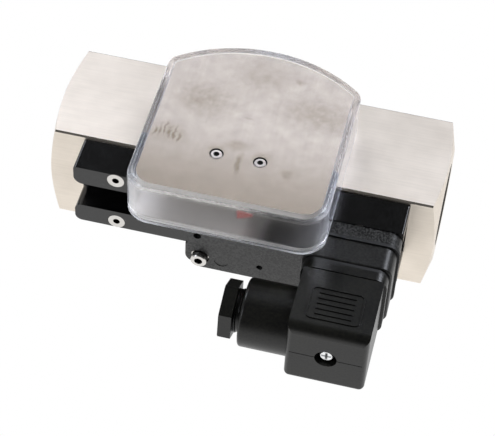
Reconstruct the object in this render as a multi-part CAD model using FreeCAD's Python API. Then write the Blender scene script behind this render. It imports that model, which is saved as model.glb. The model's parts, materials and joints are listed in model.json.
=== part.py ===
import FreeCAD, Part
import math
import os
from collections import namedtuple

# Frame: X runs along the flow from inlet to outlet, Y runs to the back, Z is up.
# The origin is the middle of the body's bottom face. All sizes are millimetres.

# Square bar body
bar_width = 40.0
body_length = 133.0
long_edge_bevel = 0.5
end_cone_angle = 15.0
end_face_margin = 0.8
port_radius = 13.22
port_depth = 17.5
port_lead = 1.0
bore_radius = 11.9
tap_floor = 2.1

# Flow insert inside the bore
ring_thickness = 1.2
ring_groove_depth = 0.9
ring_width = 2.0
ring_gap_angle = 40.0
ring_lug_radius = 1.5
ring_lug_hole = 0.7
ring_inset = 3.0
guide_thickness = 4.0
guide_rim = 2.0
guide_hub_radius = 4.2
guide_arm_width = 2.2
guide_arm_count = 3
insert_clearance = 0.05
sleeve_wall = 1.65
throat_radius = 8.25
metering_gap = 0.25
mouth_length = 6.0
taper_lead = 2.0
taper_tail = 4.0
seal_section = 1.2
seal_groove_depth = 1.1
seal_fit = 0.03
seal_from_end = 4.0

# Float, its magnet and its return spring
stroke = 25.0
float_length = 20.0
float_nose_length = 6.0
float_edge = 1.5
float_skirt_step = 1.1
float_nose_radius = 3.8
magnet_length = 8.0
magnet_wall = 1.0
magnet_fit = 0.03
clip_thickness = 1.0
rod_radius = 2.0
rod_fit = 0.05
press_fit = 0.01
collar_radius = 4.0
collar_length = 2.0
rest_gap = 0.1
spring_wire = 0.8
spring_coil_radius = 3.6
spring_wire_sides = 5
spring_turns = 7

# Display housing on the body's top face
display_shift = 0.6
pivot_reach = 9.6
arch_radius = 50.2
cover_half_width = 32.9
cover_front_reach = 21.5
cover_height = 16.7
cover_wall = 2.2
cover_front_corner = 8.6
cover_back_corner = 4.0
cover_edge_round = 2.0
least_corner = 0.6
base_thickness = 2.0
base_gap = 0.25
base_screw_x = 20.0
base_screw_front = 12.0
base_screw_back = 6.0
cord_section = 1.0
cord_depth = 1.0
plate_thickness = 2.5
plate_gap = 0.35
plate_front_gap = 1.4
plate_head_room = 0.2
pillar_spacing = 14.4
pillar_width = 5.2
pillar_spigot_radius = 1.6
pillar_spigot = 1.5

# Pointer movement
axle_radius = 0.75
axle_fit = 0.03
axle_end_play = 0.1
bearing_radius = 2.0
bearing_depth = 1.4
bearing_floor = 0.4
bearing_flange = 0.6
hub_radius = 3.0
hub_height = 3.4
hub_neck_step = 1.0
lever_lift = 4.4
lever_thickness = 1.0
lever_width = 4.0
lever_tip_width = 3.0
follower_radius = 3.0
follower_length = 3.6
follower_rim = 1.2
tip_reach = 16.6
tip_width = 5.0
tip_thickness = 1.0
tip_tab = 4.0
tip_head_room = 1.2
weight_radius = 2.2
weight_height = 2.4
weight_reach = 12.5

# Contact rail on the body's front face
rail_left = -54.0
rail_right = 56.9
rail_drop = 1.1
rail_height = 26.0
rail_depth = 13.0
rail_web = 3.0
slot_height = 10.8
prong_inner_round = 3.0
prong_outer_round = 2.4
prong_top_round = 0.8
rail_screw_inset = 14.5
rail_screw_spacing = 20.4

# Sliding contact housing
slide_fit = 0.15
face_gap = 0.1
face_thickness = 1.9
bridge_setback = 0.6
contact_left = -15.3
face_left = -14.3
face_right = 25.2
jaw_height = 9.1
jaw_reach = 9.0
jaw_round = 3.5
screw_relief_height = 6.0
screw_relief_depth = 1.6
washer_gap = 0.25
clamp_washer_radius = 3.05
clamp_washer_thickness = 0.6
clamp_screw_x = -9.9
clamp_screw_rise = 5.0
clamp_screw_length = 9.0
insert_radius = 2.3
insert_length = 5.0
tongue_left = -14.0
tongue_length = 54.0
tongue_gap = 0.4
adjust_hole_radius = 1.35
adjust_hole_x = -10.9
adjust_hole_drop = 6.7
vent_hole_radius = 1.1
vent_hole_x = 10.8
vent_hole_rise = 5.9
hole_depth = 3.0
mark_radius = 2.4
mark_depth = 0.2
mark_x = -2.4
mark_rise = 4.8
reed_radius = 1.3
reed_length = 16.0
reed_lead_radius = 0.3
reed_lead_length = 4.0
reed_fit = 0.1
reed_offset = 6.0

# Connector stack in front of the contact housing, built outwards along -Y
connector_x = 41.35
connector_drop = 17.6
platform_width = 30.9
platform_depth = 3.9
platform_step = 0.3
stack_height = 27.8
stack_rise = 0.9
stack_corner = 4.0
pad_thickness = 1.2
pad_proud = 0.2
socket_width = 29.8
socket_height = 27.0
socket_depth = 9.2
socket_recess = 2.0
seal_pad_thickness = 1.4
seal_pad_inset = 0.3
rim_depth = 3.3
rim_width = 28.2
rim_height = 26.6
neck_length = 0.4
neck_step = 0.4
cap_depth = 24.8
cap_width = 26.2
cap_up = 14.2
cap_down = 12.25
cap_corner = 1.8
cap_top_round = 3.6
cap_wall = 1.8
parting_width = 0.3
parting_depth = 0.12
frame_width = 17.6
frame_depth = 12.9
frame_corner = 2.0
frame_line = 0.6
frame_height = 0.35
frame_setback = 4.7
grip_rib_count = 5
grip_rib_length = 12.0
grip_rib_pitch = 2.1
pin_width = 5.0
pin_thickness = 1.0
pin_reach = 10.0
pin_root = 6.0
pin_circle = 7.2
pin_fit = 0.1
terminal_width = 20.0
terminal_height = 18.0
terminal_corner = 1.5
terminal_depth = 16.0
terminal_gap = 0.3
terminal_screw_radius = 1.6
terminal_screw_length = 3.0
terminal_slot_width = 0.8
terminal_slot_depth = 0.8

# Cable gland on the plug's left side
boss_length = 16.1
boss_radius = 11.3
boss_round = 1.0
boss_setback = 12.7
gland_thread_radius = 7.0
gland_fit = 0.08
gland_nut_width = 17.0
gland_nut_length = 4.3
gland_nut_turn = 25.0
gland_neck = 2.5
gland_grip = 6.2
gland_bore_radius = 4.5
gland_washer_thickness = 1.0
gland_seal_length = 6.0
gland_chamfer = 0.25

# Standard screws: head radius, head height, shank radius and the width of the driver recess
Screw = namedtuple("Screw", "head height shank recess")
m2_cap = Screw(1.9, 1.5, 1.0, 1.5)
m3_cap = Screw(2.75, 3.0, 1.5, 2.5)
m3_flat = Screw(2.9, 1.7, 1.5, 2.0)
m3_pan = Screw(2.75, 2.0, 1.5, 0.8)
pan_flat_share = 0.7
pan_side_share = 0.55
screw_fit = 0.08
flat_head_rim = 0.25
cap_head_chamfer = 0.25
socket_share = 0.6
plug_screw_recess = 1.25
plug_screw_hole = 3.6
plug_screw_boss = 4.8
plug_screw_floor = 3.0
plate_screw_hole = 2.3
plate_screw_sink = 0.1
plate_screw_grip = 5.0

# Largest difference between two coordinates that count as the same
touch = 0.001

# Levels and planes that follow from the sizes above
half_length = body_length / 2
axis_z = bar_width / 2
top_z = bar_width
front_y = -bar_width / 2
tap_depth = bar_width / 2 - bore_radius - tap_floor
ring_outer_x = half_length - port_depth - ring_inset
ring_inner_x = ring_outer_x - ring_thickness
sleeve_half = ring_inner_x - guide_thickness
insert_radius_out = bore_radius - insert_clearance
exit_radius = insert_radius_out - sleeve_wall

pivot_x = display_shift
pivot_y = front_y - pivot_reach
cover_front = pivot_y - cover_front_reach
cover_top = top_z + cover_height
base_top = top_z + base_thickness
plate_top = cover_top - cover_wall - plate_head_room
plate_bottom = plate_top - plate_thickness
follower_arm = -pivot_y
rest_angle = math.degrees(math.atan2(stroke / 2, follower_arm))

float_radius = throat_radius - metering_gap
magnet_rest_x = pivot_x - stroke / 2
float_right = magnet_rest_x + magnet_length / 2 + clip_thickness
float_left = float_right - float_length
float_skirt_radius = float_radius - float_skirt_step
magnet_radius = float_skirt_radius - magnet_wall

rail_top = top_z - rail_drop
rail_bottom = rail_top - rail_height
rail_mid_z = rail_top - rail_height / 2
rail_front = front_y - rail_depth
slot_bottom = rail_mid_z - slot_height / 2
slot_top = rail_mid_z + slot_height / 2
face_back = rail_front - face_gap
face_front = face_back - face_thickness
jaw_top = rail_bottom - slide_fit
jaw_bottom = jaw_top - jaw_height
clamp_screw_z = jaw_bottom + clamp_screw_rise
clamp_seat_y = face_front + screw_relief_depth
clamp_head_y = clamp_seat_y - clamp_washer_thickness
tongue_back = front_y - rail_web - tongue_gap
reed_y = tongue_back - 2 * reed_radius

connector_z = top_z - connector_drop
platform_front = face_back - platform_depth
pad_front = platform_front - pad_thickness
socket_front = pad_front - socket_depth
seal_pad_front = socket_front - seal_pad_thickness
rim_front = seal_pad_front - rim_depth
cap_front = rim_front - cap_depth
stack_mid_z = connector_z + stack_rise
cap_top = connector_z + cap_up
cap_bottom = connector_z - cap_down
terminal_z = (cap_top + cap_bottom) / 2
cap_left = connector_x - cap_width / 2
cap_right = connector_x + cap_width / 2
boss_left = cap_left - boss_length
boss_y = cap_front + boss_setback
nut_right = boss_left - gland_neck
nut_left = nut_right - gland_nut_length
thread_end = boss_left + gland_grip
washer_end = thread_end + gland_washer_thickness
gland_seat = washer_end + gland_seal_length
plug_screw_seat = cap_front + plug_screw_recess + m3_pan.height
plug_screw_length = pad_front - plug_screw_floor - plug_screw_seat
rail_screw_length = rail_depth + tap_depth
base_screw_length = base_thickness + tap_depth


def vec(x, y, z):
    return FreeCAD.Vector(x, y, z)


def block(x0, x1, y0, y1, z0, z1):
    return Part.makeBox(x1 - x0, y1 - y0, z1 - z0, vec(x0, y0, z0))


def rod_x(radius, x0, x1, y, z):
    return Part.makeCylinder(radius, x1 - x0, vec(x0, y, z), vec(1, 0, 0))


def rod_y(radius, y0, y1, x, z):
    return Part.makeCylinder(radius, y1 - y0, vec(x, y0, z), vec(0, 1, 0))


def rod_z(radius, z0, z1, x, y):
    return Part.makeCylinder(radius, z1 - z0, vec(x, y, z0), vec(0, 0, 1))


def turned_x(profile, y=0.0, z=axis_z):
    """Solid of revolution about a line along X; the profile is a list of (x, radius)."""
    points = [vec(x, y, z + radius) for x, radius in profile]
    face = Part.Face(Part.makePolygon(points + points[:1]))
    return face.revolve(vec(0, y, z), vec(1, 0, 0), 360)


def turned_z(profile):
    """Solid of revolution about the Z axis; the profile is a list of (radius, z)."""
    points = [vec(radius, 0, z) for radius, z in profile]
    face = Part.Face(Part.makePolygon(points + points[:1]))
    return face.revolve(vec(0, 0, 0), vec(0, 0, 1), 360)


def hexagon(width, height):
    """Hexagonal prism up from Z = 0, with flats facing X."""
    corner = width / 2 / math.cos(math.pi / 6)
    angles = [math.pi / 6 + index * math.pi / 3 for index in range(6)]
    points = [vec(corner * math.cos(angle), corner * math.sin(angle), 0) for angle in angles]
    return Part.Face(Part.makePolygon(points + points[:1])).extrude(vec(0, 0, height))


def placed(shape, position, outward):
    """Turn a piece made along +Z so that +Z points outward, and move its origin to the position."""
    turn = FreeCAD.Rotation(vec(0, 0, 1), outward)
    shape.Placement = FreeCAD.Placement(position, turn)
    return shape


def edges_along(solid, direction):
    return [edge for edge in solid.Edges if edge.Curve.TypeId == "Part::GeomLine"
            and abs(edge.tangentAt(edge.FirstParameter).dot(direction)) > 1 - touch]


def edges_at(solid, axis, level):
    """Edges that lie in the plane where one coordinate (0, 1 or 2) has the given value."""
    def lies_there(edge):
        low = (edge.BoundBox.XMin, edge.BoundBox.YMin, edge.BoundBox.ZMin)[axis]
        high = (edge.BoundBox.XMax, edge.BoundBox.YMax, edge.BoundBox.ZMax)[axis]
        return abs(low - level) < touch and abs(high - level) < touch
    return [edge for edge in solid.Edges if lies_there(edge)]


def rounded_outline(x_mid, z_mid, width, height, y, corner):
    """Closed wire of a rectangle that faces Y, with rounded corners."""
    arcs = []
    for index, (side, level) in enumerate(((1, 1), (-1, 1), (-1, -1), (1, -1))):
        x = x_mid + side * (width / 2 - corner)
        z = z_mid + level * (height / 2 - corner)
        turns = [math.radians(90 * index + step) for step in (0, 45, 90)]
        arcs.append([vec(x + corner * math.cos(turn), y, z + corner * math.sin(turn)) for turn in turns])
    edges = []
    for index, points in enumerate(arcs):
        following = arcs[(index + 1) % len(arcs)]
        edges += [Part.Arc(*points).toShape(), Part.makeLine(points[-1], following[0])]
    return Part.Wire(edges)


def slab_y(x_mid, z_mid, width, height, y0, y1, corner):
    """Plate that faces Y, with its four corners rounded."""
    outline = rounded_outline(x_mid, z_mid, width, height, y0, corner)
    return Part.Face(outline).extrude(vec(0, y1 - y0, 0))


def round_corner(solid, x, z, radius):
    """Round the edge along Y that passes through (x, z)."""
    def passes(edge):
        point = edge.valueAt(edge.FirstParameter)
        return abs(point.x - x) < touch and abs(point.z - z) < touch
    edges = [edge for edge in edges_along(solid, vec(0, 1, 0)) if passes(edge)]
    return solid.makeFillet(radius, edges)


def flat_screw(size, length):
    """Countersunk screw with its head's top at Z = 0 and a hexagon socket."""
    body = turned_z([(0, 0), (size.head, 0), (size.head, -flat_head_rim), (size.shank, -size.height),
                     (size.shank, -length), (0, -length)])
    depth = size.height * socket_share
    return body.cut(placed(hexagon(size.recess, depth), vec(0, 0, -depth), vec(0, 0, 1)))


def flat_screw_hole(size, length):
    """Countersunk hole that holds a flat screw with an all-round fit."""
    head = size.head + screw_fit
    shank = size.shank + screw_fit
    return turned_z([(0, 0), (head, 0), (head, -flat_head_rim), (shank, -size.height), (shank, -length),
                     (0, -length)])


def cap_screw(size, length):
    """Socket head screw; the head stands on Z = 0 and the shank hangs below."""
    rim = size.head - cap_head_chamfer
    shoulder = size.height - cap_head_chamfer
    body = turned_z([(0, size.height), (rim, size.height), (size.head, shoulder), (size.head, 0),
                     (size.shank, 0), (size.shank, -length), (0, -length)])
    depth = size.height * socket_share
    return body.cut(placed(hexagon(size.recess, depth), vec(0, 0, size.height - depth), vec(0, 0, 1)))


def pan_screw(size, length):
    """Pan head screw with a cross recess; the head stands on Z = 0."""
    body = turned_z([(0, size.height), (size.head * pan_flat_share, size.height),
                     (size.head, size.height * pan_side_share), (size.head, 0), (size.shank, 0),
                     (size.shank, -length), (0, -length)])
    reach = size.head * socket_share
    half = size.recess / 2
    low = size.height * (1 - socket_share)
    cross = block(-reach, reach, -half, half, low, size.height)
    return body.cut(cross.fuse(block(-half, half, -reach, reach, low, size.height)))


def dome_prism(inset, front_inset, z0, z1):
    """Prism of the display's outline: flat front, straight sides and an arched back about the pivot."""
    half = cover_half_width - inset
    radius = arch_radius - inset
    front = cover_front + front_inset
    near = max(cover_front_corner - inset, least_corner)
    far = max(cover_back_corner - inset, least_corner)
    far_x = half - far
    far_y = math.sqrt((radius - far) ** 2 - far_x ** 2)
    lean = math.atan2(far_y, far_x)
    diagonal = math.sqrt(0.5)

    def point(x, y):
        return vec(pivot_x + x, y, z0)

    def corner(side):
        touch = point(side * radius * math.cos(lean), pivot_y + radius * math.sin(lean))
        middle = point(side * (far_x + far * math.cos(lean / 2)),
                       pivot_y + far_y + far * math.sin(lean / 2))
        return middle, touch

    right_middle, right_touch = corner(1)
    left_middle, left_touch = corner(-1)
    swing = near * (1 - diagonal)
    edges = [
        Part.makeLine(point(near - half, front), point(half - near, front)),
        Part.Arc(point(half - near, front), point(half - swing, front + swing),
                 point(half, front + near)).toShape(),
        Part.makeLine(point(half, front + near), point(half, pivot_y + far_y)),
        Part.Arc(point(half, pivot_y + far_y), right_middle, right_touch).toShape(),
        Part.Arc(right_touch, point(0, pivot_y + radius), left_touch).toShape(),
        Part.Arc(left_touch, left_middle, point(-half, pivot_y + far_y)).toShape(),
        Part.makeLine(point(-half, pivot_y + far_y), point(-half, front + near)),
        Part.Arc(point(-half, front + near), point(swing - half, front + swing),
                 point(near - half, front)).toShape(),
    ]
    return Part.Face(Part.Wire(edges)).extrude(vec(0, 0, z1 - z0))


def rail_screw_places():
    return [(x, rail_mid_z + side * rail_screw_spacing / 2)
            for x in (rail_left + rail_screw_inset, rail_right - rail_screw_inset) for side in (-1, 1)]


def base_screw_places():
    return [(pivot_x + side * base_screw_x, y)
            for side in (-1, 1) for y in (-base_screw_front, base_screw_back)]


def pillar_places():
    return [(pivot_x + side * pillar_spacing / 2, pivot_y) for side in (-1, 1)]


# Body
def meter_body():
    bar = block(-half_length, half_length, front_y, -front_y, 0, top_z)
    bar = bar.makeChamfer(long_edge_bevel, edges_along(bar, vec(1, 0, 0)))
    face_radius = bar_width / 2 - end_face_margin
    corner = math.hypot(front_y, axis_z) + end_face_margin
    run = (corner - face_radius) * math.tan(math.radians(end_cone_angle))
    envelope = turned_x([(-half_length, 0), (-half_length, face_radius), (run - half_length, corner),
                         (half_length - run, corner), (half_length, face_radius), (half_length, 0)])
    port_end = half_length - port_depth
    groove = bore_radius + ring_groove_depth
    right_half = [(port_end, port_radius), (half_length - port_lead, port_radius),
                  (half_length, port_radius + port_lead)]
    ring_slot = [(ring_inner_x, bore_radius), (ring_inner_x, groove), (ring_outer_x, groove),
                 (ring_outer_x, bore_radius), (port_end, bore_radius)]
    side = ring_slot + right_half
    mirrored = [(-x, radius) for x, radius in reversed(side)]
    bore = turned_x([(-half_length, 0)] + mirrored + side + [(half_length, 0)])
    body = bar.common(envelope).cut(bore)
    tap = m3_flat.shank + screw_fit
    holes = [rod_y(tap, front_y, front_y + tap_depth, x, z) for x, z in rail_screw_places()]
    holes += [rod_z(tap, top_z - tap_depth, top_z, x, y) for x, y in base_screw_places()]
    return body.cut(Part.makeCompound(holes))


# Flow insert
def measuring_sleeve():
    disc_x = float_left + float_nose_length
    taper_start = disc_x - taper_lead
    taper_end = disc_x + float_edge + stroke + taper_tail
    bore = [(-sleeve_half, exit_radius), (-sleeve_half + mouth_length, exit_radius),
            (taper_start, throat_radius), (taper_end, exit_radius), (sleeve_half, exit_radius)]
    sleeve = turned_x([(-sleeve_half, insert_radius_out)] + bore + [(sleeve_half, insert_radius_out)])
    seat = insert_radius_out - seal_groove_depth
    x0 = -sleeve_half + seal_from_end
    x1 = x0 + seal_section + 2 * seal_fit
    groove = rod_x(bore_radius, x0, x1, 0, axis_z).cut(rod_x(seat, x0, x1, 0, axis_z))
    return sleeve.cut(groove)


def sleeve_seal():
    x0 = -sleeve_half + seal_from_end + seal_fit
    x1 = x0 + seal_section
    outer = bore_radius - seal_fit
    inner = insert_radius_out - seal_groove_depth + seal_fit
    return rod_x(outer, x0, x1, 0, axis_z).cut(rod_x(inner, x0, x1, 0, axis_z))


def flow_guide(x0):
    """Star that centres the rod in the bore: rim, spokes and a hub, with rounded hub ends."""
    x1 = x0 + guide_thickness
    rim = rod_x(insert_radius_out, x0, x1, 0, axis_z)
    rim = rim.cut(rod_x(insert_radius_out - guide_rim, x0, x1, 0, axis_z))
    star = rim.fuse(rod_x(guide_hub_radius, x0, x1, 0, axis_z))
    reach = insert_radius_out - guide_rim / 2
    for index in range(guide_arm_count):
        arm = block(x0, x1, -guide_arm_width / 2, guide_arm_width / 2, axis_z, axis_z + reach)
        arm.rotate(vec(0, 0, axis_z), vec(1, 0, 0), index * 360 / guide_arm_count)
        star = star.fuse(arm)
    star = star.cut(rod_x(rod_radius + press_fit, x0, x1, 0, axis_z))
    return star.removeSplitter()


def retaining_ring(x0):
    """Inside snap ring in its groove, open at the bottom between two lugs."""
    x1 = x0 + ring_thickness
    outer = bore_radius + ring_groove_depth - insert_clearance
    inner = bore_radius - ring_width
    ring = rod_x(outer, x0, x1, 0, axis_z).cut(rod_x(inner, x0, x1, 0, axis_z))
    half_gap = math.radians(ring_gap_angle / 2)
    reach = outer / math.cos(half_gap)
    spread = reach * math.sin(half_gap)
    corners = [vec(x0, 0, axis_z), vec(x0, -spread, axis_z - outer), vec(x0, spread, axis_z - outer)]
    gap = Part.Face(Part.makePolygon(corners + corners[:1])).extrude(vec(ring_thickness, 0, 0))
    ring = ring.cut(gap)
    lug_circle = inner
    lug_angle = half_gap + math.asin(ring_lug_radius / lug_circle)
    for side in (-1, 1):
        y = side * lug_circle * math.sin(lug_angle)
        z = axis_z - lug_circle * math.cos(lug_angle)
        ring = ring.fuse(rod_x(ring_lug_radius, x0, x1, y, z))
        ring = ring.cut(rod_x(ring_lug_hole, x0, x1, y, z))
    return ring.removeSplitter()


def guide_rod():
    rod = rod_x(rod_radius, -ring_inner_x, ring_inner_x, 0, axis_z)
    collar_right = float_left - rest_gap
    collar = rod_x(collar_radius, collar_right - collar_length, collar_right, 0, axis_z)
    return rod.fuse(collar).removeSplitter()


# Float
def float_piston():
    disc_x = float_left + float_nose_length
    bore = rod_radius + rod_fit
    seat_x = float_right - clip_thickness - magnet_length
    seat = magnet_radius + magnet_fit
    return turned_x([(float_left, bore), (float_left, float_nose_radius), (disc_x, float_radius),
                     (disc_x + float_edge, float_radius), (disc_x + float_edge, float_skirt_radius),
                     (float_right, float_skirt_radius), (float_right, seat), (seat_x, seat),
                     (seat_x, bore)])


def float_magnet():
    x1 = float_right - clip_thickness
    bore = rod_radius + rod_fit + magnet_fit
    magnet = rod_x(magnet_radius, x1 - magnet_length, x1, 0, axis_z)
    return magnet.cut(rod_x(bore, x1 - magnet_length, x1, 0, axis_z))


def float_clip():
    x0 = float_right - clip_thickness
    clip = rod_x(magnet_radius + magnet_fit - press_fit, x0, float_right, 0, axis_z)
    return clip.cut(rod_x(rod_radius + rod_fit + magnet_fit, x0, float_right, 0, axis_z))


def return_spring():
    wire = spring_wire / 2
    x0 = float_right + wire + rest_gap
    x1 = sleeve_half - wire - rest_gap
    path = Part.makeHelix((x1 - x0) / spring_turns, x1 - x0, spring_coil_radius)
    angles = [index * 2 * math.pi / spring_wire_sides for index in range(spring_wire_sides)]
    points = [vec(spring_coil_radius + wire * math.cos(angle), 0, wire * math.sin(angle))
              for angle in angles]
    section = Part.makePolygon(points + points[:1])
    spring = Part.Wire(path).makePipeShell([section], True, True)
    spring.rotate(vec(0, 0, 0), vec(0, 1, 0), 90)
    spring.translate(vec(x0, 0, axis_z))
    return spring


# Display
def display_cover():
    outer = dome_prism(0, 0, top_z, cover_top)
    outer = outer.makeFillet(cover_edge_round, edges_at(outer, 2, cover_top))
    return outer.cut(dome_prism(cover_wall, cover_wall, top_z, cover_top - cover_wall))


def display_base():
    rim = cover_wall + base_gap
    base = dome_prism(rim, rim, top_z, base_top)
    z0 = top_z + (base_thickness - cord_section) / 2
    z1 = z0 + cord_section
    floor = rim + cord_depth
    base = base.cut(dome_prism(0, 0, z0, z1).cut(dome_prism(floor, floor, z0, z1)))
    for x, y in base_screw_places():
        base = base.cut(placed(flat_screw_hole(m3_flat, base_thickness), vec(x, y, base_top), vec(0, 0, 1)))
    for x, y in pillar_places():
        base = base.cut(rod_z(pillar_spigot_radius + press_fit, base_top - pillar_spigot, base_top, x, y))
    return base.cut(rod_z(bearing_radius + press_fit, base_top - bearing_depth, base_top, pivot_x, pivot_y))


def cover_seal():
    rim = cover_wall + seal_fit
    floor = cover_wall + base_gap + cord_depth - seal_fit
    z0 = top_z + (base_thickness - cord_section) / 2 + seal_fit
    z1 = z0 + cord_section - 2 * seal_fit
    return dome_prism(rim, rim, z0, z1).cut(dome_prism(floor, floor, z0, z1))


def dial_plate():
    rim = cover_wall + plate_gap
    plate = dome_prism(rim, cover_wall + plate_front_gap, plate_bottom, plate_top)
    seat = plate_top - plate_screw_sink - m2_cap.height
    for x, y in pillar_places():
        plate = plate.cut(rod_z(plate_screw_hole, seat, plate_top, x, y))
        plate = plate.cut(rod_z(m2_cap.shank + screw_fit, plate_bottom, seat, x, y))
    socket_top = plate_bottom + bearing_depth
    return plate.cut(rod_z(bearing_radius + press_fit, plate_bottom, socket_top, pivot_x, pivot_y))


def plate_pillar(x, y):
    pillar = placed(hexagon(pillar_width, plate_bottom - base_top), vec(x, y, base_top), vec(0, 0, 1))
    pillar = pillar.fuse(rod_z(pillar_spigot_radius, base_top - pillar_spigot, base_top, x, y))
    return pillar.cut(rod_z(m2_cap.shank + screw_fit, plate_bottom - plate_screw_grip, plate_bottom, x, y))


def plate_screw(x, y):
    seat = plate_top - plate_screw_sink - m2_cap.height
    length = seat - plate_bottom + plate_screw_grip - rest_gap
    return placed(cap_screw(m2_cap, length), vec(x, y, seat), vec(0, 0, 1))


def base_screw(x, y):
    length = base_screw_length - rest_gap
    return placed(flat_screw(m3_flat, length), vec(x, y, base_top), vec(0, 0, 1))


# Pointer movement
def axle_bearing():
    """Blind bearing bush that opens along +Z, with a flange on Z = 0."""
    bore = axle_radius + axle_fit
    return turned_z([(0, bearing_floor - bearing_depth), (bore, bearing_floor - bearing_depth),
                     (bore, bearing_flange), (bearing_radius + bearing_flange, bearing_flange),
                     (bearing_radius + bearing_flange, 0), (bearing_radius, 0),
                     (bearing_radius, -bearing_depth), (0, -bearing_depth)])


def axle_bearings():
    lower = placed(axle_bearing(), vec(pivot_x, pivot_y, base_top), vec(0, 0, 1))
    upper = placed(axle_bearing(), vec(pivot_x, pivot_y, plate_bottom), vec(0, 0, -1))
    return Part.makeCompound([lower, upper])


def at_rest(piece):
    """Turn a pointer piece from straight ahead to where it stands with no flow."""
    piece.rotate(vec(pivot_x, pivot_y, 0), vec(0, 0, 1), rest_angle)
    return piece


def pointer_axle():
    play = bearing_depth - bearing_floor - axle_end_play
    axle = rod_z(axle_radius, base_top - play, plate_bottom + play, pivot_x, pivot_y)
    return at_rest(axle)


def pointer_hub():
    low = base_top + lever_lift
    high = low + lever_thickness
    z0 = low - hub_height / 2
    z1 = z0 + hub_height
    groove = rod_z(hub_radius, low, high, pivot_x, pivot_y)
    groove = groove.cut(rod_z(hub_radius - hub_neck_step, low, high, pivot_x, pivot_y))
    bore = rod_z(axle_radius + press_fit, z0, z1, pivot_x, pivot_y)
    return at_rest(rod_z(hub_radius, z0, z1, pivot_x, pivot_y).cut([bore, groove]))


def pointer_lever():
    """Flat arm: a ring for the magnet at the back, an eye on the hub and a tail to the front."""
    z0 = base_top + lever_lift
    z1 = z0 + lever_thickness
    back = pivot_y + follower_arm
    tail = pivot_y - tip_reach + tip_thickness
    outline = [vec(pivot_x - lever_width / 2, pivot_y, z0), vec(pivot_x - lever_tip_width / 2, tail, z0),
               vec(pivot_x + lever_tip_width / 2, tail, z0), vec(pivot_x + lever_width / 2, pivot_y, z0),
               vec(pivot_x + lever_tip_width / 2, back, z0), vec(pivot_x - lever_tip_width / 2, back, z0)]
    arm = Part.Face(Part.makePolygon(outline + outline[:1])).extrude(vec(0, 0, lever_thickness))
    arm = arm.fuse(rod_z(hub_radius + follower_rim, z0, z1, pivot_x, pivot_y))
    arm = arm.fuse(rod_z(follower_radius + follower_rim, z0, z1, pivot_x, back))
    arm = arm.cut(rod_z(hub_radius - hub_neck_step + press_fit, z0, z1, pivot_x, pivot_y))
    arm = arm.cut(rod_z(follower_radius + press_fit, z0, z1, pivot_x, back))
    return at_rest(arm.removeSplitter())


def follower_magnet():
    z1 = base_top + lever_lift + lever_thickness
    return at_rest(rod_z(follower_radius, z1 - follower_length, z1, pivot_x, pivot_y + follower_arm))


def pointer_tip():
    """Bent flag on the tail: a tab on top of the arm and an upright face behind the front window."""
    z0 = base_top + lever_lift + lever_thickness
    front = pivot_y - tip_reach
    left = pivot_x - tip_width / 2
    right = pivot_x + tip_width / 2
    tab = block(left, right, front, front + tip_tab, z0, z0 + tip_thickness)
    top = plate_bottom - tip_head_room
    flag = block(left, right, front, front + tip_thickness, z0 - lever_thickness, top)
    return at_rest(tab.fuse(flag).removeSplitter())


def pointer_weight():
    z1 = base_top + lever_lift
    return at_rest(rod_z(weight_radius, z1 - weight_height, z1, pivot_x, pivot_y - weight_reach))


# Contact rail
def contact_rail():
    web = block(rail_left, rail_right, front_y - rail_web, front_y, rail_bottom, rail_top)
    upper = block(rail_left, rail_right, rail_front, front_y, slot_top, rail_top)
    lower = block(rail_left, rail_right, rail_front, front_y, rail_bottom, slot_bottom)
    for x in (rail_left, rail_right):
        upper = round_corner(upper, x, slot_top, prong_inner_round)
        upper = round_corner(upper, x, rail_top, prong_top_round)
        lower = round_corner(lower, x, slot_bottom, prong_outer_round)
        lower = round_corner(lower, x, rail_bottom, prong_outer_round)
        web = round_corner(web, x, rail_top, prong_top_round)
        web = round_corner(web, x, rail_bottom, prong_outer_round)
    rail = web.fuse(upper).fuse(lower).removeSplitter()
    for x, z in rail_screw_places():
        rail = rail.cut(placed(flat_screw_hole(m3_flat, rail_depth), vec(x, rail_front, z), vec(0, -1, 0)))
    return rail


def rail_screw(x, z):
    return placed(flat_screw(m3_flat, rail_screw_length - rest_gap), vec(x, rail_front, z), vec(0, -1, 0))


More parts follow.
